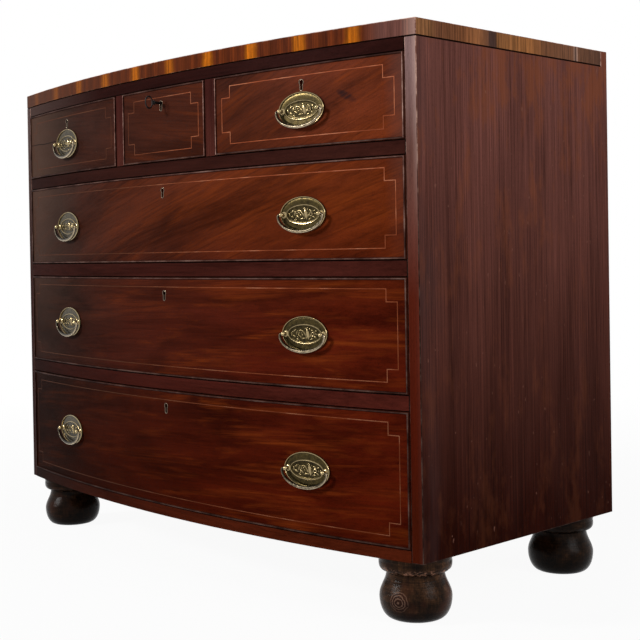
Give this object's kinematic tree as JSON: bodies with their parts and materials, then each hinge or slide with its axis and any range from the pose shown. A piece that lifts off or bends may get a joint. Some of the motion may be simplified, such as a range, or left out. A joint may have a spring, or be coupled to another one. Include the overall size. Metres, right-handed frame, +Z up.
{
  "type": "bow front chest of drawers",
  "caption": "Bow front chest with short drawers over long ones, oval plates with swinging bails, a locking centre drawer and turned bun feet.",
  "frame": {"origin": "middle of the whole object's footprint, on the floor under it", "axes": "+X to the right seen from the front, -Y out of the bowed front, +Z up"},
  "size_m": [1.08, 0.575, 0.8835],
  "materials": {
    "mahogany": "french polished, worn",
    "pine": "bare, darkened with age",
    "oak": "bare, planed",
    "brass": "antique, olive brown in the hollows",
    "iron": "darkened, handled",
    "ebonised": "black stain and wax, worn"
  },
  "bodies": {
    "carcase": {"carcase_side_left": "mahogany", "carcase_side_right": "mahogany", "top_board": "mahogany", "bottom_board": "pine", "back_board_lower": "pine", "back_board_upper": "pine", "divider_rail_upper": "mahogany", "divider_rail_middle": "mahogany", "divider_rail_lower": "mahogany", "bottom_rail": "mahogany", "top_front_rail": "mahogany", "top_rear_rail": "pine", "dustboard_lower": "pine", "dustboard_middle": "pine", "dustboard_upper": "pine", "partition_post_left": "mahogany", "partition_post_right": "mahogany", "partition_guide_left": "pine", "partition_guide_right": "pine", "foot_front_left": "ebonised", "foot_front_right": "ebonised", "foot_rear_left": "ebonised", "foot_rear_right": "ebonised"},
    "short_left_drawer": {"short_left_front": "mahogany", "short_left_box": "oak", "short_left_bottom": "oak", "short_left_handle_plate": "brass"},
    "short_centre_drawer": {"short_centre_front": "mahogany", "short_centre_box": "oak", "short_centre_bottom": "oak", "lock_case": "brass"},
    "short_right_drawer": {"short_right_front": "mahogany", "short_right_box": "oak", "short_right_bottom": "oak", "short_right_handle_plate": "brass"},
    "long_upper_drawer": {"long_upper_front": "mahogany", "long_upper_box": "oak", "long_upper_bottom": "oak", "long_upper_handle_plate_left": "brass", "long_upper_handle_plate_right": "brass"},
    "long_middle_drawer": {"long_middle_front": "mahogany", "long_middle_box": "oak", "long_middle_bottom": "oak", "long_middle_handle_plate_left": "brass", "long_middle_handle_plate_right": "brass"},
    "long_lower_drawer": {"long_lower_front": "mahogany", "long_lower_box": "oak", "long_lower_bottom": "oak", "long_lower_handle_plate_left": "brass", "long_lower_handle_plate_right": "brass"},
    "short_left_bail": {"short_left_bail": "brass"},
    "short_right_bail": {"short_right_bail": "brass"},
    "long_upper_bail_left": {"long_upper_bail_left": "brass"},
    "long_upper_bail_right": {"long_upper_bail_right": "brass"},
    "long_middle_bail_left": {"long_middle_bail_left": "brass"},
    "long_middle_bail_right": {"long_middle_bail_right": "brass"},
    "long_lower_bail_left": {"long_lower_bail_left": "brass"},
    "long_lower_bail_right": {"long_lower_bail_right": "brass"},
    "lock_bolt": {"lock_bolt": "iron"},
    "key": {"key": "iron"}
  },
  "joints": [
    {"name": "short_left_drawer_slide", "type": "slide", "parent": "carcase", "child": "short_left_drawer", "axis": [0, -1, 0], "range_m": [0, 0.34]},
    {"name": "short_centre_drawer_slide", "type": "slide", "parent": "carcase", "child": "short_centre_drawer", "axis": [0, -1, 0], "range_m": [0, 0.34]},
    {"name": "short_right_drawer_slide", "type": "slide", "parent": "carcase", "child": "short_right_drawer", "axis": [0, -1, 0], "range_m": [0, 0.34]},
    {"name": "long_upper_drawer_slide", "type": "slide", "parent": "carcase", "child": "long_upper_drawer", "axis": [0, -1, 0], "range_m": [0, 0.34]},
    {"name": "long_middle_drawer_slide", "type": "slide", "parent": "carcase", "child": "long_middle_drawer", "axis": [0, -1, 0], "range_m": [0, 0.34]},
    {"name": "long_lower_drawer_slide", "type": "slide", "parent": "carcase", "child": "long_lower_drawer", "axis": [0, -1, 0], "range_m": [0, 0.34]},
    {"name": "short_left_bail_swing", "type": "hinge", "parent": "short_left_drawer", "child": "short_left_bail", "pos_m": [-0.33504, -0.24241, 0.76802], "axis": [-0.9925, 0.1225, 0], "range_deg": [-4, 184]},
    {"name": "short_right_bail_swing", "type": "hinge", "parent": "short_right_drawer", "child": "short_right_bail", "pos_m": [0.33504, -0.24241, 0.76802], "axis": [-0.9925, -0.1225, 0], "range_deg": [-4, 184]},
    {"name": "long_upper_left_bail_swing", "type": "hinge", "parent": "long_upper_drawer", "child": "long_upper_bail_left", "pos_m": [-0.33504, -0.24241, 0.60764], "axis": [-0.9925, 0.1225, 0], "range_deg": [-4, 184]},
    {"name": "long_upper_right_bail_swing", "type": "hinge", "parent": "long_upper_drawer", "child": "long_upper_bail_right", "pos_m": [0.33504, -0.24241, 0.60764], "axis": [-0.9925, -0.1225, 0], "range_deg": [-4, 184]},
    {"name": "long_middle_left_bail_swing", "type": "hinge", "parent": "long_middle_drawer", "child": "long_middle_bail_left", "pos_m": [-0.33504, -0.24241, 0.42345], "axis": [-0.9925, 0.1225, 0], "range_deg": [-4, 184]},
    {"name": "long_middle_right_bail_swing", "type": "hinge", "parent": "long_middle_drawer", "child": "long_middle_bail_right", "pos_m": [0.33504, -0.24241, 0.42345], "axis": [-0.9925, -0.1225, 0], "range_deg": [-4, 184]},
    {"name": "long_lower_left_bail_swing", "type": "hinge", "parent": "long_lower_drawer", "child": "long_lower_bail_left", "pos_m": [-0.33504, -0.24241, 0.21442], "axis": [-0.9925, 0.1225, 0], "range_deg": [-4, 184]},
    {"name": "long_lower_right_bail_swing", "type": "hinge", "parent": "long_lower_drawer", "child": "long_lower_bail_right", "pos_m": [0.33504, -0.24241, 0.21442], "axis": [-0.9925, -0.1225, 0], "range_deg": [-4, 184]},
    {"name": "key_turn", "type": "hinge", "parent": "short_centre_drawer", "child": "key", "pos_m": [0, -0.2545, 0.8105], "axis": [0, -1, 0], "range_deg": [0, 90]},
    {"name": "lock_bolt_slide", "type": "slide", "parent": "short_centre_drawer", "child": "lock_bolt", "axis": [0, 0, 1], "range_m": [0, 0.006]}
  ],
  "couplings": [
    {"joint": "lock_bolt_slide", "follows": "key_turn", "m_per_rad": 0.003819}
  ]
}
